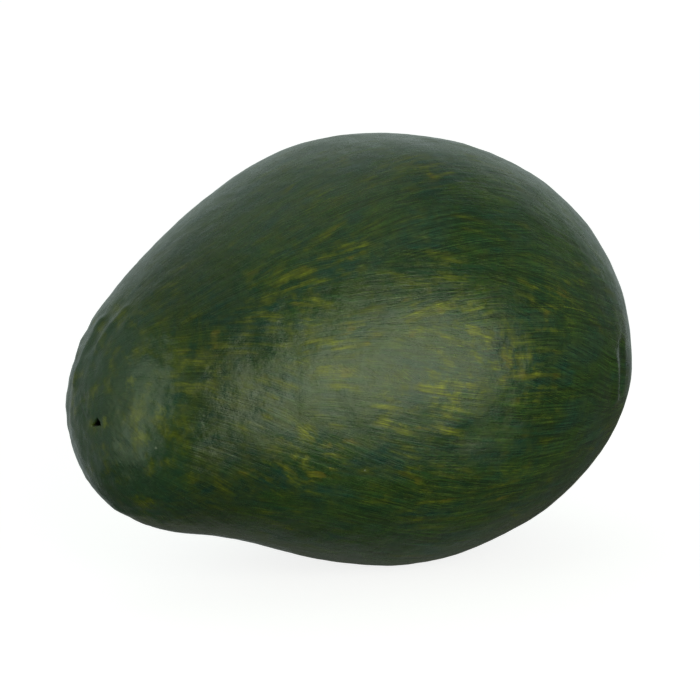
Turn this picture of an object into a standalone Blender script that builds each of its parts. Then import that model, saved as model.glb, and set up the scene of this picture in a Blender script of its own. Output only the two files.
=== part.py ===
"""A whole green-skinned avocado lying on its side, as one solid fruit.

The frame has +Z up and its origin on the surface that the fruit lies on, under the
middle of its bounding box. The stem end points to -X and the blossom end to +X.
A place on the skin is given by two numbers: how far along the fruit it is, from -1 at
the stem end to +1 at the blossom end, and its angle around the fruit, in degrees from
the top (+Z) over the front (-Y). All lengths are in metres.
"""

import math

import bmesh
import bpy
from mathutils import Quaternion, Vector, noise

# The fruit's length, and the terms of its radius from end to end. The first term is
# the mean radius. The second makes the blossom half wider than the neck, and the
# others fill both ends out and draw in the waist between neck and belly.
LENGTH = 0.112
RADIUS_TERMS = (0.0400, 0.0055, 0.0021, -0.0013, 0.00175)

# The middle line bends: it drops at both ends, more at the neck, and strays to the front.
LIFT_TERMS = (0.0, 0.0004, -0.0047, 0.0019)
SIDE_TERMS = (0.0, 0.0, -0.0015)

# The fruit has settled on a small flat spot, cut this far above its lowest point.
FLAT_DEPTH = 0.0010

# Swellings and hollows that the outline shows: along, around, height, reach.
SWELLINGS = (
    (0.22, 354.0, -0.00080, 0.017),
    (0.64, 17.0, 0.00035, 0.014),
    (0.85, 49.0, -0.00035, 0.012),
    (-0.14, 340.0, 0.00060, 0.014),
    (-0.77, 175.0, 0.00095, 0.010),
    (-0.38, 174.0, -0.00060, 0.012),
    (0.02, 166.0, 0.00045, 0.014),
    (-0.05, 103.0, -0.00045, 0.005),
    (0.83, 104.0, 0.00035, 0.007),
)

# The small dimple round the stem's pit, and the one at the blossom end.
DIMPLES = (
    (-0.997, 56.0, -0.00040, 0.0028),
    (0.999, 60.0, -0.00035, 0.0030),
)

# Gentle unevenness all over: for each layer, how wide its lumps are and how high.
LUMPS = (
    (0.026, 0.00040),
    (0.011, 0.00016),
)
LUMPS_PLACE = Vector((3.7, 1.9, 8.3))

# Faint folds that run out from the stem end, strongest above it.
PUCKER_FOLDS = 13
PUCKER_HEIGHT = 0.00012
PUCKER_PLACE = (-0.90, 335.0)
PUCKER_REACH = 0.012

# The pit that the stem left: roughly three-cornered, narrower at its floor.
PIT_ALONG = -0.997
PIT_AROUND = 56.0
PIT_RADIUS = 0.00115
PIT_FLOOR_RADIUS = 0.00045
PIT_DEPTH = 0.0035
PIT_TURN = math.radians(20.0)

# Faces along each edge of the cube that the skin is rounded from. Those near the stem
# end are split once more.
CUBE_FACES = 22
FINE_REACH = 0.020

SKIN_COLOR = (0.030, 0.058, 0.021, 1.0)
SKIN_ROUGHNESS = 0.38


def remove_scene_objects():
    """Starts from a scene with no objects."""
    for obj in list(bpy.data.objects):
        bpy.data.objects.remove(obj, do_unlink=True)


def new_collection(name):
    """A collection under the scene's own."""
    collection = bpy.data.collections.new(name)
    bpy.context.scene.collection.children.link(collection)
    return collection


def direction(along, around):
    """The unit direction of a place on the skin."""
    angle = math.radians(around)
    ring = math.sqrt(1.0 - along * along)
    return Vector((along, -ring * math.sin(angle), ring * math.cos(angle)))


def polynomial(terms, x):
    """The sum of terms[n] times x to the power n."""
    return sum(term * x**power for power, term in enumerate(terms))


def smooth_point(toward):
    """The skin's point in a unit direction, before lumps and folds."""
    angle = math.acos(max(-1.0, min(1.0, toward.x)))
    radius = sum(term * math.cos(order * angle) for order, term in enumerate(RADIUS_TERMS))
    side = polynomial(SIDE_TERMS, toward.x)
    lift = polynomial(LIFT_TERMS, toward.x)
    return Vector((0.5 * LENGTH * toward.x, side + radius * toward.y, lift + radius * toward.z))


def smooth_normal(toward):
    """The outward normal there, from two small steps along the skin."""
    aside = toward.cross(Vector((0.0, 0.6, 0.8))).normalized()
    up = toward.cross(aside)
    step = 0.002
    here = smooth_point(toward)
    first = smooth_point((toward + step * aside).normalized()) - here
    second = smooth_point((toward + step * up).normalized()) - here
    normal = first.cross(second).normalized()
    if normal.dot(toward) < 0.0:
        normal.negate()
    return normal


def bell(distance, reach):
    """A bell curve: 1 at no distance, and nearly 0 past twice the reach."""
    return math.exp(-((distance / reach) ** 2))


def pucker(point):
    """The height of the folds near the stem end at a point."""
    from_pit = point - smooth_point(direction(PIT_ALONG, PIT_AROUND))
    around = math.atan2(-from_pit.y, from_pit.z)
    fold = math.cos(PUCKER_FOLDS * around + 2.0 * noise.noise(point / LUMPS[1][0]))
    distance = (point - smooth_point(direction(*PUCKER_PLACE))).length
    return PUCKER_HEIGHT * fold * bell(distance, PUCKER_REACH)


def relief(point):
    """How far the real skin stands above the smooth form at a point."""
    height = 0.0
    for along, around, rise, reach in SWELLINGS + DIMPLES:
        centre = smooth_point(direction(along, around))
        height += rise * bell((point - centre).length, reach)
    for width, rise in LUMPS:
        height += rise * noise.noise(point / width + LUMPS_PLACE)
    return height + pucker(point)


def skin_point(toward):
    """The real skin's point in a unit direction."""
    smooth = smooth_point(toward)
    return smooth + relief(smooth) * smooth_normal(toward)


def rounded_cube():
    """A cube with its faces divided and rounded to a unit sphere of nearly equal cells."""
    body = bmesh.new()
    bmesh.ops.create_cube(body, size=2.0)
    bmesh.ops.subdivide_edges(body, edges=body.edges[:], cuts=CUBE_FACES - 1, use_grid_fill=True)
    for vert in body.verts:
        even = [math.tan(0.25 * math.pi * value) for value in vert.co]
        vert.co = Vector(even).normalized()
    return body


def refine_stem_end(body):
    """Splits the faces near the stem end once more, back onto the unit sphere."""
    tip = smooth_point(direction(PIT_ALONG, PIT_AROUND))
    near = [
        face for face in body.faces
        if (smooth_point(face.calc_center_median().normalized()) - tip).length < FINE_REACH
    ]
    edges = {edge for face in near for edge in face.edges}
    bmesh.ops.subdivide_edges(body, edges=list(edges), cuts=1, use_grid_fill=True)
    for vert in body.verts:
        vert.co.normalize()


def fruit_mesh():
    """The fruit's closed skin, and the shift that set it in the frame."""
    body = rounded_cube()
    refine_stem_end(body)
    for vert in body.verts:
        vert.co = skin_point(vert.co)
    xs = [vert.co.x for vert in body.verts]
    ys = [vert.co.y for vert in body.verts]
    lowest = min(vert.co.z for vert in body.verts)
    shift = -Vector((0.5 * (min(xs) + max(xs)), 0.5 * (min(ys) + max(ys)), lowest + FLAT_DEPTH))
    bmesh.ops.translate(body, verts=body.verts[:], vec=shift)
    bmesh.ops.triangulate(body, faces=body.faces[:])
    bmesh.ops.recalc_face_normals(body, faces=body.faces[:])
    mesh = bpy.data.meshes.new("avocado")
    body.to_mesh(mesh)
    body.free()
    mesh.shade_smooth()
    return mesh, shift


def skin_material():
    """Deep green, waxy skin with a soft gloss."""
    material = bpy.data.materials.new("avocado skin")
    material.use_nodes = True
    shader = material.node_tree.nodes["Principled BSDF"]
    shader.inputs["Base Color"].default_value = SKIN_COLOR
    shader.inputs["Roughness"].default_value = SKIN_ROUGHNESS
    shader.inputs["Metallic"].default_value = 0.0
    material.diffuse_color = SKIN_COLOR
    return material


def cutter(name, mesh, collection):
    """A shape that is only cut away: drawn as wires and never rendered."""
    obj = bpy.data.objects.new(name, mesh)
    obj.display_type = "WIRE"
    obj.hide_render = True
    collection.objects.link(obj)
    return obj


def flat_cutter(collection):
    """A block whose top is the surface that the fruit lies on."""
    body = bmesh.new()
    bmesh.ops.create_cube(body, size=LENGTH)
    mesh = bpy.data.meshes.new("flat_cutter")
    body.to_mesh(mesh)
    body.free()
    obj = cutter("flat_cutter", mesh, collection)
    obj.location = (0.0, 0.0, -0.5 * LENGTH)
    return obj


def pit_cutter(shift, collection):
    """A three-sided tapering plug, standing half out of the skin at the stem's pit."""
    toward = direction(PIT_ALONG, PIT_AROUND)
    inward = -smooth_normal(toward)
    body = bmesh.new()
    bmesh.ops.create_cone(
        body,
        cap_ends=True,
        segments=3,
        radius1=PIT_RADIUS,
        radius2=PIT_FLOOR_RADIUS,
        depth=2.0 * PIT_DEPTH,
    )
    mesh = bpy.data.meshes.new("pit_cutter")
    body.to_mesh(mesh)
    body.free()
    obj = cutter("pit_cutter", mesh, collection)
    obj.rotation_mode = "QUATERNION"
    obj.rotation_quaternion = inward.to_track_quat("Z", "Y") @ Quaternion((0.0, 0.0, 1.0), PIT_TURN)
    obj.location = skin_point(toward) + shift
    return obj


def cut_away(obj, tool):
    """Takes a cutter's shape off an object."""
    modifier = obj.modifiers.new(tool.name, "BOOLEAN")
    modifier.operation = "DIFFERENCE"
    modifier.solver = "EXACT"
    modifier.object = tool


def make_avocado():
    """The fruit with its flat spot and its stem's pit."""
    parts = new_collection("avocado")
    cutters = new_collection("cutters")
    cutters.hide_render = True
    mesh, shift = fruit_mesh()
    mesh.materials.append(skin_material())
    fruit = bpy.data.objects.new("avocado", mesh)
    parts.objects.link(fruit)
    cut_away(fruit, flat_cutter(cutters))
    cut_away(fruit, pit_cutter(shift, cutters))


remove_scene_objects()
make_avocado()
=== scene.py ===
# %% [markdown]
# # A green avocado, dressed for its portrait
# This lesson starts from a plain, faceted model of one avocado lying on its side, and gives it its skin.
# The fruit is one piece that grew as one piece, so there is one new mesh here. Almost all of the work is
# in its surface: the gentle lumps, the little pit that the stem left, and a deep green streaked with
# yellow, as if laid on with a dry brush.

# %% Load the frame
import math

import bpy
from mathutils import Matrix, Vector


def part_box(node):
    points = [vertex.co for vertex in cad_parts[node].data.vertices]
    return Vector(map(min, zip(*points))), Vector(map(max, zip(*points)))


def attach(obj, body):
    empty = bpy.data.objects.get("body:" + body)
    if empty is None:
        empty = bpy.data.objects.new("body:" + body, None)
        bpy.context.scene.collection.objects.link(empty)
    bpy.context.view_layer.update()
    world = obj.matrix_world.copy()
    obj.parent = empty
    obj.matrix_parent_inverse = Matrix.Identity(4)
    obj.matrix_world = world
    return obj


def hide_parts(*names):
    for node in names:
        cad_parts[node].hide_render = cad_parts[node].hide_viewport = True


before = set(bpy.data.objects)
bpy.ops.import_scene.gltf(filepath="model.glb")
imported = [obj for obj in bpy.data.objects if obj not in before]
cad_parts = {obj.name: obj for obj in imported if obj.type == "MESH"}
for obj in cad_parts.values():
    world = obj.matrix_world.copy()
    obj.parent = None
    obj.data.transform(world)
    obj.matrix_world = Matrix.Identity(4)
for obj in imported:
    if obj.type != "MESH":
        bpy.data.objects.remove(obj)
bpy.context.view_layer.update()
low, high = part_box("avocado")
centre = (low + high) / 2
half = (high - low) / 2
print("the fruit is", [round(2000 * side, 1) for side in half], "mm")

# %% [markdown]
# Blender's operators act on whatever is selected, and a freshly loaded model arrives selected. So a
# lesson that models with operators needs a few small habits: deselect everything, make one object active,
# and apply each modifier as soon as it has done its job. These helpers are those habits.


# %% Select, and apply a modifier
def only(obj):
    """Selects one object and makes it the active one."""
    bpy.ops.object.select_all(action="DESELECT")
    obj.select_set(True)
    bpy.context.view_layer.objects.active = obj


def apply_modifier(obj, kind, **settings):
    """Adds a modifier, gives it its settings and applies it at once."""
    only(obj)
    modifier = obj.modifiers.new(kind.lower(), kind)
    for name, value in settings.items():
        setattr(modifier, name, value)
    bpy.ops.object.modifier_apply(modifier=modifier.name)


def select_verts(obj, test):
    """Selects the vertices whose place passes a test, leaves the object in edit mode, and counts them."""
    only(obj)
    bpy.ops.object.mode_set(mode="EDIT")
    bpy.ops.mesh.select_mode(type="VERT")
    bpy.ops.mesh.select_all(action="DESELECT")
    bpy.ops.object.mode_set(mode="OBJECT")
    chosen = [vert for vert in obj.data.vertices if test(vert.co)]
    for vert in chosen:
        vert.select = True
    bpy.ops.object.mode_set(mode="EDIT")
    return len(chosen)


def object_mode():
    """Leaves edit mode."""
    bpy.ops.object.mode_set(mode="OBJECT")


LEAST_WEIGHT = 0.001


def weigh(obj, name, weight):
    """Makes a vertex group whose weight at each vertex comes from a formula of its place."""
    group = obj.vertex_groups.new(name=name)
    for vert in obj.data.vertices:
        value = weight(vert.co)
        if value > LEAST_WEIGHT:
            group.add([vert.index], min(value, 1.0), "REPLACE")


# %% [markdown]
# The loaded model is made of loose triangles, one beside the other. It must stay as it is, so a copy is
# merged into one closed skin and used only as a guide, like a plaster form that clay is pressed onto.

# %% A guide to press the skin onto
MERGE_DISTANCE = 0.000002
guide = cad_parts["avocado"].copy()
guide.data = guide.data.copy()
guide.parent = None
guide.name = "skin_guide"
bpy.context.scene.collection.objects.link(guide)
only(guide)
bpy.ops.object.mode_set(mode="EDIT")
bpy.ops.mesh.select_all(action="SELECT")
bpy.ops.mesh.remove_doubles(threshold=MERGE_DISTANCE)
object_mode()
print("guide:", len(guide.data.vertices), "vertices")

# %% [markdown]
# A globe of latitude rings has pinched poles, which show as stars in a glossy skin. A cube that is
# subdivided and then rounded has no poles: its quads stay nearly square all over. Rounding crowds the
# quads at the cube's corners, so the rounding is repeated with a little smoothing between, which spreads
# them out again.

# %% The blank: a cube rounded into a ball
CUBE_CUTS = 29
ROUNDINGS = 4
bpy.ops.object.select_all(action="DESELECT")
bpy.ops.mesh.primitive_cube_add(size=2.0, location=(0.0, 0.0, 0.0))
fruit = bpy.context.active_object
fruit.name = "avocado_skin"
bpy.ops.object.mode_set(mode="EDIT")
bpy.ops.mesh.select_all(action="SELECT")
bpy.ops.mesh.subdivide(number_cuts=CUBE_CUTS)
for rounding in range(ROUNDINGS):
    bpy.ops.transform.tosphere(value=1.0)
    bpy.ops.mesh.vertices_smooth(factor=0.5, repeat=6)
bpy.ops.transform.tosphere(value=1.0)
object_mode()
print("blank:", len(fruit.data.polygons), "quads")

# %% The ball stretched to an egg of the fruit's size, in the fruit's place
OVERSIZE = 1.02
radius = max(vert.co.length for vert in fruit.data.vertices)
egg_size = [OVERSIZE * side / radius for side in half]
bpy.ops.object.mode_set(mode="EDIT")
bpy.ops.mesh.select_all(action="SELECT")
bpy.ops.transform.resize(value=egg_size, center_override=(0.0, 0.0, 0.0))
bpy.ops.transform.translate(value=centre)
object_mode()

# %% [markdown]
# Shrinkwrap presses the egg onto the guide. Pressed once, the quads bunch up where the neck is thinner
# than the egg, so pressing and smoothing take turns. The last smoothing also melts the guide's facets,
# and two levels of subdivision then carry the smooth form down to cells of about half a millimetre, fine
# enough for real relief.

# %% Press the blank onto the guide
PRESSINGS = 3
for pressing in range(PRESSINGS):
    apply_modifier(fruit, "SHRINKWRAP", target=guide, wrap_method="NEAREST_SURFACEPOINT")
    apply_modifier(fruit, "SMOOTH", factor=0.5, iterations=4)
apply_modifier(fruit, "SHRINKWRAP", target=guide, wrap_method="NEAREST_SURFACEPOINT")
apply_modifier(fruit, "SMOOTH", factor=0.5, iterations=2)
apply_modifier(fruit, "SUBSURF", levels=2, render_levels=2)
print("skin:", len(fruit.data.polygons), "quads")

# %% [markdown]
# The stem end carries the finest modelling: a three-cornered pit hardly two millimetres wide, and a patch
# of crinkles beside it. Only there are the quads split again, and once more right at the pit, so the rest
# of the skin stays light.

# %% Finer quads round the stem's pit
PIT = Vector((-0.0557, -0.0047, 0.0343))
FINER_REACHES = (0.0075, 0.0032)
for reach in FINER_REACHES:
    select_verts(fruit, lambda place: (place - PIT).length < reach)
    bpy.ops.mesh.subdivide(number_cuts=1, quadcorner="INNERVERT")
    object_mode()
print("with the finer patch:", len(fruit.data.polygons), "faces")

# %% [markdown]
# ## The relief of the skin
# Seen from a step away the skin is smooth, but its soft reflections waver, and that gives a real fruit
# away. Broad lumps, a finer pebbling and a faint grain go all over, and one more layer of lumps only on
# the neck, which is more uneven. Each is a Displace modifier that takes a procedural texture for its
# pattern. A vertex group says where it may act.


# %% Patterns to displace with
def pattern(name, width, depth=2):
    """A cloudy texture whose features are about as wide as given, in metres."""
    texture = bpy.data.textures.new(name, "CLOUDS")
    texture.noise_scale = width
    texture.noise_depth = depth
    return texture


def press(texture, height, group=""):
    """Displaces the skin by a texture, up and down from its own surface."""
    apply_modifier(fruit, "DISPLACE", texture=texture, strength=height, mid_level=0.5, vertex_group=group)


# %% Lumps and pebbling all over, and more on the neck
NECK_START = -0.040
NECK_FADE = 0.008
press(pattern("lumps", 0.0098), 0.00036)
weigh(fruit, "neck", lambda place: max(0.0, (NECK_START - place.x) / NECK_FADE))
press(pattern("neck_lumps", 0.0036), 0.00060, group="neck")
press(pattern("pebbles", 0.0032), 0.00015)
press(pattern("grain", 0.0011, depth=1), 0.00003)

# %% [markdown]
# Named folds and dents come from the photograph: each has a line on the skin from one place to another, a
# reach on both sides of it and a height. A bell-shaped weight painted by a formula does what a soft brush
# does by hand. Where the two places are the same, the fold is a round bump.


# %% A soft brush along a line
def off_line(place, start, end):
    """How far a place is from the line between two places."""
    run = end - start
    share = 0.0
    if run.length > 0.0:
        share = max(0.0, min(1.0, (place - start).dot(run) / run.length_squared))
    return (place - start - share * run).length


def bell(distance, reach):
    """A soft brush: 1 at its middle, and nearly 0 past twice its reach."""
    return math.exp(-((distance / reach) ** 2))


# %% Folds and dents by name: start, end, reach, height
FOLDS = {
    "stem_fold_right": ((-0.0474, -0.0012, 0.0533), (-0.0521, -0.0001, 0.0470), 0.0009, 0.00042),
    "stem_fold_left": ((-0.0492, 0.0043, 0.0504), (-0.0544, 0.0050, 0.0394), 0.0009, 0.00042),
    "stem_fold_join": ((-0.0521, -0.0001, 0.0470), (-0.0534, 0.0039, 0.0433), 0.0008, 0.00018),
    "stem_valley": ((-0.0490, 0.0020, 0.0510), (-0.0524, 0.0024, 0.0455), 0.0009, -0.00026),
    "stem_crease": ((-0.0526, -0.0002, 0.0460), (-0.0548, 0.0008, 0.0405), 0.0006, 0.00012),
    "blossom_ridge": ((0.0366, -0.0327, 0.0395), (0.0388, -0.0312, 0.0318), 0.0014, 0.00050),
    "blossom_valley": ((0.0400, -0.0303, 0.0412), (0.0412, -0.0296, 0.0330), 0.0013, -0.00058),
    "belly_dent": ((-0.0006, -0.0384, 0.0322), (0.0006, -0.0384, 0.0305), 0.0016, -0.00024),
    "belly_bump": ((-0.0051, -0.0379, 0.0323), (-0.0051, -0.0379, 0.0323), 0.0020, 0.00022),
}
for name, (start, end, reach, height) in FOLDS.items():
    line = (Vector(start), Vector(end))
    weigh(fruit, name, lambda place: bell(off_line(place, *line), reach))
    apply_modifier(fruit, "DISPLACE", strength=height, mid_level=0.0, vertex_group=name)
print("folds:", len(FOLDS))

# %% Crinkles beside the pit
CRINKLES = Vector((-0.0557, -0.0002, 0.0362))
CRINKLE_REACH = 0.0016
weigh(fruit, "crinkles", lambda place: bell((place - CRINKLES).length, CRINKLE_REACH))
press(pattern("crinkle_pattern", 0.0009, depth=1), 0.00080, group="crinkles")

# %% [markdown]
# The pit is a hole with three uneven corners, like the mark of a blunt awl. Its weight is 1 inside all
# three sides and falls to 0 within a hair of them, and one strong Displace sinks it, so its walls are
# steep and its rim is crisp.

# %% The stem's pit
PIT_AXIS = Vector((0.99, 0.09, -0.06)).normalized()
PIT_CORNERS = ((-0.00150, -0.00095), (0.00125, -0.00020), (0.00022, 0.00098))
PIT_DEPTH = 0.0024
PIT_RIM = 0.00022
PIT_SURROUNDINGS = 0.004
side_axis = PIT_AXIS.cross(Vector((0.0, 0.0, 1.0))).normalized()
high_axis = side_axis.cross(PIT_AXIS)


def pit_weight(place):
    """1 inside the pit's three sides, falling to 0 at them."""
    out = place - PIT
    if out.length > PIT_SURROUNDINGS:
        return 0.0
    across = out.dot(side_axis)
    above = out.dot(high_axis)
    inside = []
    for (x0, y0), (x1, y1) in zip(PIT_CORNERS, PIT_CORNERS[1:] + PIT_CORNERS[:1]):
        length = math.hypot(x1 - x0, y1 - y0)
        inside.append(((x1 - x0) * (above - y0) - (y1 - y0) * (across - x0)) / length)
    return max(0.0, min(1.0, min(inside) / PIT_RIM))


weigh(fruit, "pit", pit_weight)
apply_modifier(fruit, "DISPLACE", strength=-PIT_DEPTH, mid_level=0.0, vertex_group="pit")

# %% [markdown]
# All that pressing has moved the skin's outermost points by a fraction of a millimetre. The fruit's real
# size is the solid's, so the skin is stretched back into the solid's box, and its lowest points are laid
# flat on the table.


# %% Into the solid's box
def fit_to_box():
    """Moves and stretches the skin by a hair so that it just fills the solid's box."""
    places = [vert.co for vert in fruit.data.vertices]
    lowest = Vector([min(place[axis] for place in places) for axis in range(3)])
    highest = Vector([max(place[axis] for place in places) for axis in range(3)])
    factor = [2.0 * side / length for side, length in zip(half, highest - lowest)]
    select_verts(fruit, lambda place: True)
    bpy.ops.transform.translate(value=centre - (lowest + highest) / 2)
    bpy.ops.transform.resize(value=factor, center_override=centre)
    object_mode()
    return factor


print("stretched by", [round(value, 4) for value in fit_to_box()])

# %% Flat on the table
REST_HEIGHT = 0.00012
resting = select_verts(fruit, lambda place: place.z < REST_HEIGHT)
bpy.ops.transform.resize(value=(1.0, 1.0, 0.0), center_override=(0.0, 0.0, 0.0))
object_mode()
print("vertices on the table:", resting)

# %% [markdown]
# ## The painter's kit
# A material in Blender is a net of nodes. Written out one by one, the net hides its idea, so this small
# class draws each kind of node that the skin needs in one line, and wires what is given to it.


# %% A class that wires nodes
class Net:
    """Adds nodes to a node tree and wires them as they come."""

    def __init__(self, tree):
        self.tree = tree

    def node(self, kind, inputs=(), **settings):
        """Adds a node, gives it settings, and fills its inputs with values or other nodes' outputs."""
        made = self.tree.nodes.new(kind)
        for name, value in settings.items():
            setattr(made, name, value)
        for socket, value in dict(inputs).items():
            if isinstance(value, bpy.types.NodeSocket):
                self.wire(value, made.inputs[socket])
            else:
                made.inputs[socket].default_value = value
        return made

    def wire(self, output, socket):
        """Draws one link."""
        self.tree.links.new(output, socket)

    def math(self, operation, first, second=0.0):
        """One sum on numbers."""
        return self.node("ShaderNodeMath", {0: first, 1: second}, operation=operation).outputs[0]

    def vector(self, operation, first, second=(0.0, 0.0, 0.0)):
        """One sum on vectors."""
        made = self.node("ShaderNodeVectorMath", {0: first, 1: second}, operation=operation)
        return made.outputs["Value" if operation in ("DOT_PRODUCT", "LENGTH") else "Vector"]

    def scaled(self, vector, factor):
        """A vector times a number."""
        made = self.node("ShaderNodeVectorMath", {0: vector, "Scale": factor}, operation="SCALE")
        return made.outputs["Vector"]

    def split(self, vector):
        """A vector's three numbers."""
        made = self.node("ShaderNodeSeparateXYZ", {0: vector})
        return made.outputs[0], made.outputs[1], made.outputs[2]

    def join(self, x, y, z):
        """A vector from three numbers."""
        return self.node("ShaderNodeCombineXYZ", {0: x, 1: y, 2: z}).outputs[0]

    def noise(self, vector, scale=1.0, detail=2.0, rough=0.5):
        """Soft random values about one half."""
        inputs = {"Vector": vector, "Scale": scale, "Detail": detail, "Roughness": rough}
        return self.node("ShaderNodeTexNoise", inputs).outputs[0]

    def ramp(self, value, start, end, low_value=0.0, high_value=1.0):
        """Low before start, high after end, and smooth between."""
        inputs = {0: value, 1: start, 2: end, 3: low_value, 4: high_value}
        return self.node("ShaderNodeMapRange", inputs, interpolation_type="SMOOTHSTEP").outputs[0]

    def mix(self, factor, first, second):
        """A colour between two colours."""
        inputs = {0: factor, 6: first, 7: second}
        return self.node("ShaderNodeMix", inputs, data_type="RGBA", clamp_factor=True).outputs[2]


# %% A node group in one call
def group_of(name, inputs, outputs):
    """A new shader node group with named inputs and outputs, its Net, and its two ends."""
    tree = bpy.data.node_groups.new(name, "ShaderNodeTree")
    for socket, kind, value in inputs:
        made = tree.interface.new_socket(name=socket, in_out="INPUT", socket_type="NodeSocket" + kind)
        if value is not None:
            made.default_value = value
    for socket, kind in outputs:
        tree.interface.new_socket(name=socket, in_out="OUTPUT", socket_type="NodeSocket" + kind)
    net = Net(tree)
    return tree, net, net.node("NodeGroupInput").outputs, net.node("NodeGroupOutput").inputs


# %% [markdown]
# Brush strokes follow the fruit. Most run lengthwise, fanning out from the stem end like the lines of
# longitude on a globe. So each place on the skin is told how far it is along such a line, and which way
# is sideways there. Both come from Object coordinates with a little trigonometry, measured round the
# fruit's bent middle line. The painter's hand didn't keep to those lines: the strokes turn down a little
# everywhere, more towards the blossom end and much more round the waist, and less along the bottom. That
# is the map's Turn, in radians.

# %% A map of the skin
MIDDLE_HEIGHT = 0.0392
MIDDLE_DROP = 0.0052
MEAN_RADIUS = 0.042
MEAN_TURN = 0.12
BLOSSOM_TURN = 0.26
LOW_TURN = -0.12
WAIST_TURN = 0.46


def make_skin_map():
    """Place in; distance along, the sideways direction, the arm from the middle, and the turn out."""
    tree, net, given, out = group_of(
        "Skin map", [("Place", "Vector", None)],
        [("Along", "Float"), ("Sideways", "Vector"), ("Arm", "Vector"), ("Turn", "Float")],
    )
    x, y, z = net.split(given["Place"])

    # The middle line drops at both ends, and the arm reaches from it to the place.
    share = net.math("DIVIDE", x, half.x)
    drop = net.math("MULTIPLY", net.math("MULTIPLY", share, share), MIDDLE_DROP)
    above = net.math("ADD", net.math("SUBTRACT", z, MIDDLE_HEIGHT), drop)
    spread = net.vector("LENGTH", net.join(0.0, y, above))
    angle = net.math("ARCTAN2", spread, net.math("MULTIPLY", x, -1.0))
    net.wire(net.math("MULTIPLY", angle, MEAN_RADIUS), out["Along"])
    net.wire(net.vector("NORMALIZE", net.join(0.0, net.math("MULTIPLY", above, -1.0), y)), out["Sideways"])
    net.wire(net.join(x, y, above), out["Arm"])

    # How far the strokes turn away from the lines of longitude.
    low_turn = net.ramp(z, 0.036, 0.016, 0.0, LOW_TURN)
    blossom_turn = net.ramp(x, 0.008, 0.030, MEAN_TURN, BLOSSOM_TURN)
    waist_turn = net.ramp(x, -0.010, -0.034, 0.0, WAIST_TURN)
    waist_turn = net.math("MULTIPLY", waist_turn, net.ramp(z, 0.062, 0.042))
    net.wire(net.math("ADD", net.math("ADD", low_turn, waist_turn), blossom_turn), out["Turn"])
    return tree


skin_map = make_skin_map()
print("skin map:", len(skin_map.nodes), "nodes")

# %% [markdown]
# One pass of the brush is many strokes. A Voronoi texture deals the skin out into long cells, one for
# each stroke, and gives every cell its own random number. Inside its cell a stroke keeps one direction,
# that of its middle, with a slight tilt of its own, and three patterns run with it: hair-thin lines from
# single bristles, bundles of such lines, and dabs where the brush was pressed. All three are noise, drawn
# out along the stroke. Bundles and dabs fade out towards the cell's edge, so that no stroke ends in a
# hard cut.

# %% Sizes of one pass
BUNDLE_WIDTH = 0.0008
DAB_WIDTH = 0.0022
BUNDLE_RUN = 0.8
DAB_RUN = 1.15
CELL_FADE = 0.16
WOBBLE = 0.0012
BRUSH_INPUTS = [
    ("Place", "Vector", None), ("Seed", "Float", 0.0), ("Length", "Float", 0.03),
    ("Width", "Float", 0.008), ("Bristle", "Float", 0.0002), ("Run", "Float", 0.006),
    ("Turn", "Float", 0.0), ("Tilt", "Float", 0.3),
]


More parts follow.
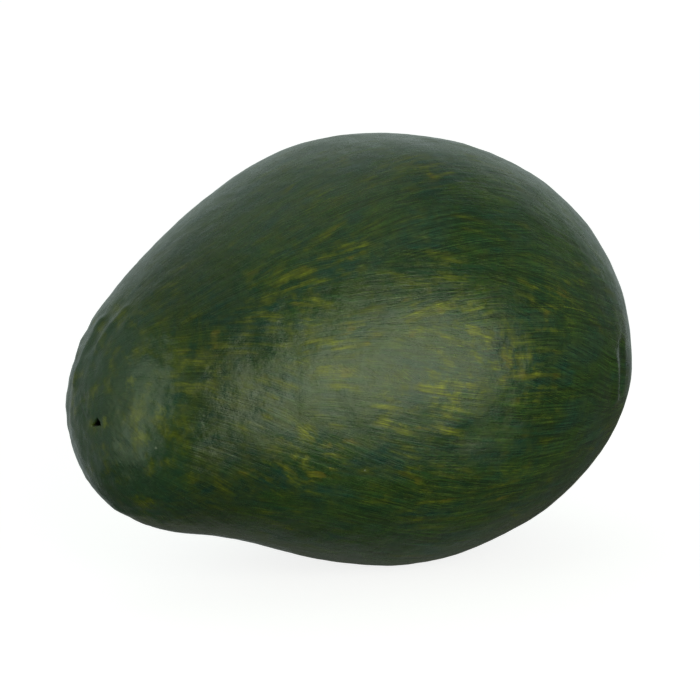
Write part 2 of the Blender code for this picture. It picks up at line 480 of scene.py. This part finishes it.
# %% One pass of the brush
def make_brush_pass():
    """Bristle lines, bundles and dabs of one pass of strokes, each from 0 to 1 about one half."""
    outputs = [("Lines", "Float"), ("Bundles", "Float"), ("Dabs", "Float")]
    tree, net, given, out = group_of("Brush pass", BRUSH_INPUTS, outputs)
    seed = given["Seed"]
    here = net.node("ShaderNodeGroup", {"Place": given["Place"]}, node_tree=skin_map).outputs

    # The cells, and the middle of the one that this place is in.
    thin = net.math("DIVIDE", 1.0, given["Width"])
    stretch = net.join(net.math("DIVIDE", 1.0, given["Length"]), thin, thin)
    shift = net.join(seed, net.math("MULTIPLY", seed, 1.7), net.math("MULTIPLY", seed, 2.3))
    dealt = net.vector("ADD", net.vector("MULTIPLY", given["Place"], stretch), shift)
    cells = {"Vector": dealt, "Scale": 1.0, "Randomness": 1.0}
    cell = net.node("ShaderNodeTexVoronoi", cells, feature="F1").outputs
    edge = net.node("ShaderNodeTexVoronoi", cells, feature="DISTANCE_TO_EDGE").outputs
    middle = net.vector("DIVIDE", net.vector("SUBTRACT", cell["Position"], shift), stretch)
    there = net.node("ShaderNodeGroup", {"Place": middle}, node_tree=skin_map).outputs
    chance_tilt, chance_depth, _ = net.split(cell["Color"])

    # How far this place is along the stroke, and to its side, both from the stroke's middle.
    along = net.math("SUBTRACT", here["Along"], there["Along"])
    across = net.math("MULTIPLY", net.vector("DOT_PRODUCT", there["Arm"], here["Sideways"]), -1.0)
    tilt = net.math("MULTIPLY", net.math("SUBTRACT", chance_tilt, 0.5), given["Tilt"])
    turn = net.math("ADD", net.math("ADD", tilt, there["Turn"]), given["Turn"])
    cosine = net.math("COSINE", turn)
    sine = net.math("SINE", turn)
    run = net.math("ADD", net.math("MULTIPLY", along, cosine), net.math("MULTIPLY", across, sine))
    side = net.math("SUBTRACT", net.math("MULTIPLY", across, cosine), net.math("MULTIPLY", along, sine))
    waver = net.math("SUBTRACT", net.noise(given["Place"], 60.0, 1.0), 0.5)
    run = net.math("DIVIDE", run, given["Run"])
    side = net.math("ADD", side, net.math("MULTIPLY", waver, WOBBLE))

    # The three patterns.
    depth = net.math("ADD", net.math("MULTIPLY", chance_depth, 40.0), seed)
    hair = net.math("DIVIDE", side, given["Bristle"])
    net.wire(net.noise(net.join(run, hair, depth), 1.0, 2.5, 0.65), out["Lines"])
    tuft = net.math("DIVIDE", side, BUNDLE_WIDTH)
    bundles = net.noise(net.join(net.math("MULTIPLY", run, BUNDLE_RUN), tuft, depth), 1.0, 1.0)
    dab = net.math("DIVIDE", side, DAB_WIDTH)
    dabs = net.noise(net.join(net.math("MULTIPLY", run, DAB_RUN), dab, seed), 1.0, 2.0, 0.5)
    inner = net.ramp(edge["Distance"], 0.0, CELL_FADE)
    for name, strokes in (("Bundles", bundles), ("Dabs", dabs)):
        faded = net.math("MULTIPLY", net.math("SUBTRACT", strokes, 0.5), inner)
        net.wire(net.math("ADD", faded, 0.5), out[name])
    return tree


brush_pass = make_brush_pass()
print("brush pass:", len(brush_pass.nodes), "nodes")

# %% [markdown]
# ## The paint
# The look is that of yellow laid on first and a thin deep green brushed over it. Where the green went on
# thick there is only green, drifting between bluish and leafy. Where the brush was pressed or ran dry,
# the yellow shows through in fine olive lines and soft dabs. It does so mostly in certain patches, whose
# places were read from the photograph.

# %% Colours
DEEP_GREEN = (0.0052, 0.0258, 0.0085, 1.0)
BLUE_GREEN = (0.0050, 0.0298, 0.0210, 1.0)
LEAF_GREEN = (0.0110, 0.0362, 0.0065, 1.0)
OLIVE = (0.0280, 0.0440, 0.0027, 1.0)
YELLOW = (0.1120, 0.1290, 0.0040, 1.0)
AMBER = (0.0850, 0.0640, 0.0050, 1.0)
GLOSS_TINT = (0.91, 1.00, 0.73, 1.0)
PALE_SPECK = (0.1600, 0.1900, 0.1300, 1.0)
PIT_PAINTED_SHADE = (0.0015, 0.0020, 0.0012, 1.0)

# %% Where the yellow shows most: the middle of each patch, its reach, and how strongly
PATCHES = (
    ((-0.0443, -0.0195, 0.0440), 0.0055, 2.2),
    ((-0.0364, -0.0213, 0.0515), 0.0060, 0.5),
    ((-0.0271, -0.0228, 0.0578), 0.0065, 1.2),
    ((-0.0161, -0.0251, 0.0632), 0.0060, 0.7),
    ((-0.0011, -0.0354, 0.0569), 0.0070, 0.4),
    ((0.0019, -0.0387, 0.0493), 0.0075, 1.2),
    ((-0.0043, -0.0388, 0.0393), 0.0055, 2.0),
    ((0.0085, -0.0395, 0.0440), 0.0060, 1.4),
    ((-0.0130, -0.0361, 0.0390), 0.0050, 1.6),
    ((-0.0278, -0.0287, 0.0297), 0.0060, 1.8),
    ((-0.0360, -0.0262, 0.0401), 0.0050, 1.1),
    ((-0.0238, -0.0302, 0.0481), 0.0070, 1.0),
    ((0.0042, -0.0175, 0.0757), 0.0050, 1.0),
    ((0.0241, -0.0190, 0.0719), 0.0045, 0.6),
    ((0.0214, -0.0364, 0.0528), 0.0080, 0.4),
    ((-0.0071, -0.0336, 0.0216), 0.0090, 0.5),
    ((0.0135, -0.0356, 0.0208), 0.0080, 0.4),
    ((-0.0391, -0.0220, 0.0255), 0.0075, 0.6),
)

# %% Small yellow spots on the neck: the middle of each, and its reach
SPOTS = (
    ((-0.0553, -0.0068, 0.0351), 0.0009),
    ((-0.0498, -0.0171, 0.0381), 0.0012),
    ((-0.0524, -0.0108, 0.0426), 0.0010),
    ((-0.0449, -0.0193, 0.0260), 0.0014),
    ((-0.0523, -0.0145, 0.0336), 0.0016),
)


# %% The patches where yellow shows
def make_patches():
    """How much the yellow shows at a place, from named patches and a slow drift everywhere."""
    tree, net, given, out = group_of("Yellow patches", [("Place", "Vector", None)], [("Amount", "Float")])
    slow = net.noise(net.vector("MULTIPLY", given["Place"], (0.5, 1.0, 1.0)), 75.0, 3.0, 0.65)
    total = net.math("MULTIPLY", net.math("SUBTRACT", slow, 0.5), 3.0)
    for middle, reach, strength in PATCHES:
        away = net.vector("LENGTH", net.vector("SUBTRACT", given["Place"], middle))
        soft = net.ramp(away, 1.7 * reach, 0.2 * reach, 0.0, strength)
        total = net.math("MAXIMUM", total, net.math("ADD", soft, net.math("MULTIPLY", total, 0.5)))
    net.wire(total, out["Amount"])
    return tree


patches = make_patches()
print("patches:", len(PATCHES))

# %% [markdown]
# The material now grows cell by cell, as a painting does: ground first, strokes over it, then spots, and
# the gloss at the end. Many of its parts fade in or out along the fruit, from one place to another. Those
# pairs of places get names here, so that a ramp can be read as a sentence. The first number is where the
# fade starts and the second is where it ends, along X or up Z.

# %% Where things fade, along the fruit
STEM_END = (-0.030, -0.046)
STEM_BLUE = (-0.034, -0.046)
STEM_BLOTCHES = (-0.041, -0.049)
STEM_TIP = (-0.0450, -0.0505)
WAIST_SHADE_BELLY_SIDE = (-0.028, -0.037)
WAIST_SHADE_NECK_SIDE = (-0.043, -0.048)
LEFT_OF_BELLY = (0.000, -0.034)
RIGHT_OF_BELLY = (0.010, 0.024)
BLOSSOM_END = (0.036, 0.050)
BLOSSOM_BLOTCHES = (0.0500, 0.0540)
BLOSSOM_TIP = (0.0505, 0.0545)

# %% Where things fade, up the fruit
UNDER_BELLY = (0.030, 0.018)
SHOULDER = (0.050, 0.063)

# %% A blank material, and two helpers for it
skin = bpy.data.materials.new("painted_avocado_skin")
skin.use_nodes = True
net = Net(skin.node_tree)
shader = skin.node_tree.nodes["Principled BSDF"]
shader.inputs["Specular Tint"].default_value = GLOSS_TINT
place = net.node("ShaderNodeTexCoord").outputs["Object"]
x, _, z = net.split(place)


def brush(seed, **values):
    """One brush pass with its own seed."""
    inputs = {"Place": place, "Seed": seed}
    inputs.update({name.capitalize(): value for name, value in values.items()})
    return net.node("ShaderNodeGroup", inputs, node_tree=brush_pass).outputs


def blend(*shares):
    """A weighted sum of patterns."""
    total = 0.0
    for weight, value in shares:
        total = net.math("ADD", net.math("MULTIPLY", value, weight), total)
    return total


# %% The green ground
LENGTHWISE = (0.55, 1.0, 1.0)
ELSEWHERE = (3.0, 5.0, 7.0)
long_place = net.vector("MULTIPLY", place, LENGTHWISE)
drift = net.noise(long_place, 130.0, 2.0, 0.5)
leafy = net.noise(net.vector("ADD", long_place, ELSEWHERE), 190.0, 2.0, 0.5)
ground = net.mix(net.ramp(drift, 0.42, 0.60, 0.0, 0.65), DEEP_GREEN, BLUE_GREEN)
ground = net.mix(net.ramp(leafy, 0.46, 0.66, 0.0, 0.8), ground, LEAF_GREEN)
ground = net.mix(net.math("MULTIPLY", net.ramp(x, *STEM_BLUE), 0.55), ground, BLUE_GREEN)
print("the ground takes", len(skin.node_tree.nodes), "nodes")

# %% [markdown]
# Two passes of the brush cover the fruit: the green one on top, and the one that bares the yellow under
# it, whose strokes are shorter and more unruly. At the very tips all strokes would run together into a
# star, which no painter leaves. So a number called calm takes the strokes back there, and soft blotches
# take their place.

# %% Two passes, and the calm tips
CALM_SHARE = 0.15
green = brush(1.0, length=0.034, width=0.0100, bristle=0.00017, run=0.0110, tilt=0.32)
under = brush(3.1, length=0.024, width=0.0080, bristle=0.00019, run=0.0090, tilt=0.55)
amount = net.node("ShaderNodeGroup", {"Place": place}, node_tree=patches).outputs[0]
fuzz = net.math("SUBTRACT", net.noise(place, 440.0, 3.0, 0.6), 0.5)
calm_stem = net.ramp(x, *STEM_TIP, 1.0, CALM_SHARE)
calm_blossom = net.ramp(x, *BLOSSOM_TIP, 1.0, CALM_SHARE)
calm = net.math("MINIMUM", calm_stem, calm_blossom)
blotched = net.math("MAXIMUM", net.ramp(x, *STEM_BLOTCHES), net.ramp(x, *BLOSSOM_BLOTCHES))
ends = net.math("MAXIMUM", net.ramp(x, *STEM_END), net.ramp(x, *BLOSSOM_END))

# %% [markdown]
# How much yellow shows is one number for each place. Dabs, bundles and a little fuzz swing it up and
# down, further where a patch is strong, and less under the belly and to its right. Where the number is
# low the ground stays, and from there the colour goes through olive to yellow without a step, because a
# sharp threshold would make grains, not brushwork.

# %% How much yellow shows
SWING = 0.85
PATCH_SWING = 1.05
QUIET_SHARE = 0.58
swing = net.math("ADD", SWING, net.math("MULTIPLY", net.math("MAXIMUM", amount, 0.0), PATCH_SWING))
quiet_below = net.ramp(z, *UNDER_BELLY, 1.0, QUIET_SHARE)
quiet_right = net.ramp(x, *RIGHT_OF_BELLY, 1.0, QUIET_SHARE)
quiet = net.math("MINIMUM", quiet_below, quiet_right)
swing = net.math("MULTIPLY", net.math("MULTIPLY", swing, calm), quiet)
streaks = blend((0.72, under["Dabs"]), (0.28, under["Bundles"]), (0.36, fuzz), (1.0, -0.5))
shown = blend((1.0, net.math("MULTIPLY", streaks, swing)), (0.052, amount), (-0.02, ends), (1.0, -0.046))

# %% Hairs: the yellow's own bristle lines, evened out at the tips
EVEN_HAIR = 0.6
hairs = net.math("MULTIPLY", net.ramp(under["Lines"], 0.36, 0.64), calm)
hairs = net.math("ADD", hairs, net.math("SUBTRACT", EVEN_HAIR, net.math("MULTIPLY", calm, EVEN_HAIR)))

# %% Olive and yellow over the ground
olive_share = net.math("MULTIPLY", net.ramp(shown, -0.16, 0.16), net.ramp(hairs, 0.0, 1.0, 0.74, 1.0))
color = net.mix(olive_share, ground, OLIVE)
yellow_share = net.math("MULTIPLY", net.ramp(shown, -0.02, 0.38), net.ramp(hairs, 0.0, 1.0, 0.40, 1.0))
yellow_share = net.math("MULTIPLY", yellow_share, net.ramp(z, *SHOULDER, 1.0, 0.6))
color = net.mix(yellow_share, color, YELLOW)

# %% Thin yellow lines where the green's bristles ran dry
even = net.math("MULTIPLY", net.ramp(x, *LEFT_OF_BELLY, 1.0, 0.50), calm)
dry_share = net.ramp(amount, -0.3, 1.0, 0.0, 0.30)
dry_lines = net.math("MULTIPLY", net.ramp(green["Lines"], 0.57, 0.70), dry_share)
color = net.mix(net.math("MULTIPLY", dry_lines, even), color, YELLOW)

# %% Blotches at both tips
blotch = net.noise(place, 260.0, 3.0, 0.62)
color = net.mix(net.math("MULTIPLY", net.ramp(blotch, 0.46, 0.66, 0.0, 0.8), blotched), color, OLIVE)
color = net.mix(net.math("MULTIPLY", net.ramp(blotch, 0.56, 0.76, 0.0, 0.4), blotched), color, YELLOW)

# %% Some of the yellow is amber
AMBER_PLACE = (9.0, 2.0, 4.0)
amber = net.noise(net.vector("ADD", place, AMBER_PLACE), 230.0, 2.0, 0.6)
amber = net.math("MULTIPLY", net.ramp(amber, 0.57, 0.74, 0.0, 0.45), net.ramp(shown, 0.0, 0.1))
color = net.mix(amber, color, AMBER)

# %% The small spots on the neck, with ragged edges
RAGGED = 0.0050
SPOT_SHARE = 0.42
ragged = net.math("SUBTRACT", net.noise(place, 900.0, 3.0, 0.6), 0.5)
spotted = 0.0
for middle, reach in SPOTS:
    away = net.vector("LENGTH", net.vector("SUBTRACT", place, middle))
    away = net.math("ADD", away, net.math("MULTIPLY", ragged, RAGGED))
    spotted = net.math("MAXIMUM", net.ramp(away, 1.2 * reach, 0.1 * reach), spotted)
color = net.mix(net.math("MULTIPLY", spotted, SPOT_SHARE), color, YELLOW)
print("spots:", len(SPOTS))

# %% [markdown]
# Towards both ends the painter also brushed across the fruit, in short strokes at a right angle to the
# others. It is the same brush pass as before, turned by a quarter, and it leaves only olive.

# %% Short strokes across the ends
cross = brush(5.7, length=0.010, width=0.0100, bristle=0.00022, run=0.0050, turn=math.pi / 2, tilt=0.8)
crossed = blend((0.20, cross["Lines"]), (0.25, cross["Bundles"]), (0.55, cross["Dabs"]), (0.03, amount))
crossed = net.math("MULTIPLY", net.ramp(crossed, 0.44, 0.62, 0.0, 0.60), net.math("MULTIPLY", ends, calm))
color = net.mix(crossed, color, OLIVE)

# %% [markdown]
# A bristle leaves a ridge of thick paint and a groove of thin paint beside it, so its lines differ more
# in brightness than in colour. The tone multiplies the colour: by the green's bristle lines, by the
# yellow's, and by a fine grain. Round the waist the tone also darkens the colour, as painted shade.

# %% Light and dark lines
WAIST_PAINTED_SHADE = 0.80
shade = blend((0.75, green["Lines"]), (0.25, green["Bundles"]))
tone = net.math("MULTIPLY", net.ramp(shade, 0.36, 0.64, 0.58, 1.52), net.ramp(hairs, 0.0, 1.0, 0.78, 1.28))
tone = net.math("ADD", 1.0, net.math("MULTIPLY", net.math("SUBTRACT", tone, 1.0), even))
grain = net.noise(place, 1100.0, 2.0, 0.6)
tone = net.math("MULTIPLY", tone, net.ramp(grain, 0.35, 0.65, 0.90, 1.13))
# Painted shade: the colour is darkened round the waist, between the belly and the neck.
waist_shade_belly_side = net.ramp(x, *WAIST_SHADE_BELLY_SIDE, 1.0, WAIST_PAINTED_SHADE)
waist_shade_neck_side = net.ramp(x, *WAIST_SHADE_NECK_SIDE, WAIST_PAINTED_SHADE, 1.0)
tone = net.math("MULTIPLY", tone, net.math("MAXIMUM", waist_shade_belly_side, waist_shade_neck_side))
color = net.scaled(color, tone)

# %% A few pale specks
dots = net.node("ShaderNodeTexVoronoi", {"Vector": place, "Scale": 110.0}, feature="F1").outputs
color = net.mix(net.ramp(dots["Distance"], 0.032, 0.016, 0.0, 0.5), color, PALE_SPECK)

# %% Painted shade inside the pit
from_pit = net.vector("SUBTRACT", place, tuple(PIT))
pit_shade_depth = net.ramp(net.vector("DOT_PRODUCT", from_pit, tuple(PIT_AXIS)), 0.0003, 0.0008)
near_pit = net.ramp(net.vector("LENGTH", from_pit), 0.0040, 0.0034)
# The colour deep in the pit is painted shade, darkest where the skin sinks furthest.
color = net.mix(net.math("MULTIPLY", pit_shade_depth, near_pit), color, PIT_PAINTED_SHADE)
net.wire(color, shader.inputs["Base Color"])

# %% [markdown]
# The gloss is waxy, and it is never even: it is duller where the paint is thick and where it drifts
# bluish, and a fine mottling breaks up the soft reflections. The bump adds the bristles' ridges and that
# mottling, all of it about a tenth of a millimetre high. Anything larger is real relief in the mesh.

# %% Gloss
ROUGHNESS = 0.27
rough = net.math("ADD", ROUGHNESS, net.math("MULTIPLY", net.math("SUBTRACT", shade, 0.5), 0.20))
rough = net.math("ADD", rough, net.math("MULTIPLY", net.math("SUBTRACT", drift, 0.5), 0.20))
rough = net.math("ADD", rough, net.ramp(shown, 0.0, 0.2, 0.0, 0.08))
rough = net.math("ADD", rough, net.math("MULTIPLY", fuzz, 0.28))
net.wire(rough, shader.inputs["Roughness"])

# %% Bump
BUMP_STRENGTH = 0.6
BUMP_HEIGHT = 0.00015
mottle = net.noise(place, 400.0, 3.0, 0.6)
bristles = ((0.5, green["Lines"]), (0.4, under["Lines"]), (0.7, green["Bundles"]))
ridges = blend(*bristles, (1.5, mottle), (0.3, grain))
bump = net.node("ShaderNodeBump", {"Strength": BUMP_STRENGTH, "Distance": BUMP_HEIGHT, "Height": ridges})
net.wire(bump.outputs[0], shader.inputs["Normal"])
print("skin material:", len(skin.node_tree.nodes), "nodes")

# %% [markdown]
# The skin gets its material and smooth shading, the guide has done its work and goes, the skin is made
# to move with the fruit's body, and the plain solid is hidden.

# %% Put the skin on
fruit.data.materials.clear()
fruit.data.materials.append(skin)
only(fruit)
bpy.ops.object.shade_smooth()
bpy.data.objects.remove(guide, do_unlink=True)
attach(fruit, "root")
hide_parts("avocado")

# %% [markdown]
# ## The studio
# The camera is a long lens, six tenths of a metre away and a little above the fruit, as in the
# photograph. Its aim is set by a hair so that the outline falls where the photographed one does.


# %% The way to a compass direction and a height
def way(azimuth, elevation):
    """The unit direction from the fruit; azimuth 0 is straight in front of it and runs towards +X."""
    level = math.cos(elevation)
    return Vector((math.sin(azimuth) * level, -math.cos(azimuth) * level, math.sin(elevation)))


# %% The camera
AZIMUTH = math.radians(-34.0)
ELEVATION = math.radians(12.0)
DISTANCE = 0.607
LENS = 169.7
SENSOR = 36.0
AIM_HEIGHT = 0.03955
AIM_RIGHT = 0.00072
AIM_UP = 0.00039
back = way(AZIMUTH, ELEVATION)
right = Vector((math.cos(AZIMUTH), math.sin(AZIMUTH), 0.0))
up = back.cross(right)
aim = Vector((0.0, 0.0, AIM_HEIGHT)) + AIM_RIGHT * right + AIM_UP * up
camera_data = bpy.data.cameras.new("camera")
camera_data.lens = LENS
camera_data.sensor_width = SENSOR
camera_data.clip_start = 0.01
camera_data.clip_end = 20.0
camera = bpy.data.objects.new("camera", camera_data)
camera.rotation_mode = "QUATERNION"
camera.rotation_quaternion = back.to_track_quat("Z", "Y")
camera.location = aim + DISTANCE * back
bpy.context.scene.collection.objects.link(camera)
bpy.context.scene.camera = camera
print("camera at", [round(value, 4) for value in camera.location])

# %% [markdown]
# A waxy fruit shows the room in its gloss. The photograph's fruit shows two broad pale shapes, one on the
# belly and one on the neck, with a dark band between them on the waist, and pale rims along the top and
# the sides. Each is the mirror image of a soft box. A real box is brighter in its middle and fades at its
# edges, so each is put together here from a few panels of different brightness. A panel is named for its
# side, and given by the range of compass directions and of heights that it fills, in degrees.


# %% A panel of light
def soft_box(name, azimuths, elevations, brightness, color):
    """A panel a metre from the fruit, facing it, that fills a range of directions and heights."""
    rise = math.radians(sum(elevations) / 2)
    toward = way(math.radians(sum(azimuths) / 2), rise)
    data = bpy.data.lights.new(name, "AREA")
    data.shape = "RECTANGLE"
    data.size = 2.0 * math.tan(math.radians(azimuths[1] - azimuths[0]) / 2) * max(math.cos(rise), 0.5)
    data.size_y = 2.0 * math.tan(math.radians(elevations[1] - elevations[0]) / 2)
    data.energy = brightness * math.pi * data.size * data.size_y
    data.color = color
    light = bpy.data.objects.new(name, data)
    light.rotation_mode = "QUATERNION"
    light.rotation_quaternion = toward.to_track_quat("Z", "Y")
    light.location = aim + toward
    light.visible_camera = False
    bpy.context.scene.collection.objects.link(light)
    print(name, round(data.energy, 1), "W")


# %% The panels: directions, heights, brightness, colour
WARM = (1.0, 1.0, 0.93)
WARM_LOW = (0.92, 1.0, 0.92)
SOFT_GREEN = (0.94, 1.0, 0.94)
SEA_GREEN = (0.85, 1.0, 0.95)
PALE_BLUE = (0.82, 0.96, 1.0)
GREEN_LOW = (0.90, 1.0, 0.92)
YELLOW_HIGH = (0.95, 1.0, 0.85)
PANELS = (
    ("right_box", (-23.0, -6.0), (-20.0, 33.0), 3.15, WARM),
    ("right_middle", (-6.0, 8.0), (-20.0, 33.0), 2.75, WARM),
    ("right_end", (8.0, 28.0), (-20.0, 23.0), 2.40, WARM),
    ("right_fade", (28.0, 35.0), (-16.0, 22.0), 0.90, WARM),
    ("right_edge", (-30.0, -23.0), (10.0, 38.0), 2.40, WARM),
    ("right_corner", (-30.0, -23.0), (-18.0, 12.0), 0.65, WARM),
    ("right_high", (-24.0, -10.0), (33.0, 48.0), 0.70, WARM),
    ("right_foot", (-27.0, 32.0), (-42.0, -20.0), 0.68, WARM_LOW),
    ("left_box", (-94.0, -70.0), (-34.0, 36.0), 1.62, SOFT_GREEN),
    ("left_fade", (-70.0, -60.0), (-30.0, 33.0), 0.50, SOFT_GREEN),
    ("left_foot", (-98.0, -66.0), (-46.0, -34.0), 0.60, SOFT_GREEN),
    ("left_end", (-114.0, -94.0), (-34.0, 38.0), 0.66, SOFT_GREEN),
    ("left_rear_box", (186.0, 246.0), (-34.0, 38.0), 0.26, SEA_GREEN),
    ("rear_box", (148.0, 186.0), (-28.0, 45.0), 0.37, PALE_BLUE),
    ("rear_right_box", (110.0, 148.0), (-14.0, 45.0), 0.39, PALE_BLUE),
    ("rear_high_box", (138.0, 238.0), (46.0, 78.0), 0.24, SEA_GREEN),
    ("rear_foot", (120.0, 175.0), (-62.0, -36.0), 0.10, GREEN_LOW),
    ("top_box", (0.0, 60.0), (62.0, 118.0), 0.34, YELLOW_HIGH),
)
for panel in PANELS:
    soft_box(*panel)

# %% [markdown]
# The floor is plain and nearly white. It glows a little itself and is left out of the fruit's
# reflections, so that only the panels and the room shape the gloss. The room is dim and greenish, and
# darker below than above.

# %% The floor
FLOOR_SIZE = 12.0
FLOOR_GREY = (0.45, 0.45, 0.45, 1.0)
WHITE = (1.0, 1.0, 1.0, 1.0)
FLOOR_GLOW = 0.82
bpy.ops.object.select_all(action="DESELECT")
bpy.ops.mesh.primitive_plane_add(size=FLOOR_SIZE, location=(0.0, 0.0, 0.0))
floor = bpy.context.active_object
floor.name = "floor"
floor_paint = bpy.data.materials.new("pale_floor")
floor_paint.use_nodes = True
floor_shader = floor_paint.node_tree.nodes["Principled BSDF"]
floor_shader.inputs["Base Color"].default_value = FLOOR_GREY
floor_shader.inputs["Roughness"].default_value = 0.8
floor_shader.inputs["Specular IOR Level"].default_value = 0.0
floor_shader.inputs["Emission Color"].default_value = WHITE
floor_shader.inputs["Emission Strength"].default_value = FLOOR_GLOW
floor.data.materials.append(floor_paint)
floor.visible_glossy = False
floor.visible_diffuse = False
floor.visible_shadow = False

# %% The room
ROOM_BELOW = (0.085, 0.085, 0.075, 1.0)
ROOM_ABOVE = (0.20, 0.24, 0.20, 1.0)
world = bpy.data.worlds.new("room")
world.use_nodes = True
backdrop = world.node_tree.nodes["Background"]
room = Net(world.node_tree)
room_height = room.split(room.node("ShaderNodeTexCoord").outputs["Generated"])[2]
room_color = room.mix(room.ramp(room_height, -0.2, 0.2), ROOM_BELOW, ROOM_ABOVE)
room.wire(room_color, backdrop.inputs["Color"])
backdrop.inputs["Strength"].default_value = 1.0
bpy.context.scene.world = world
bpy.context.scene.view_settings.view_transform = "Standard"
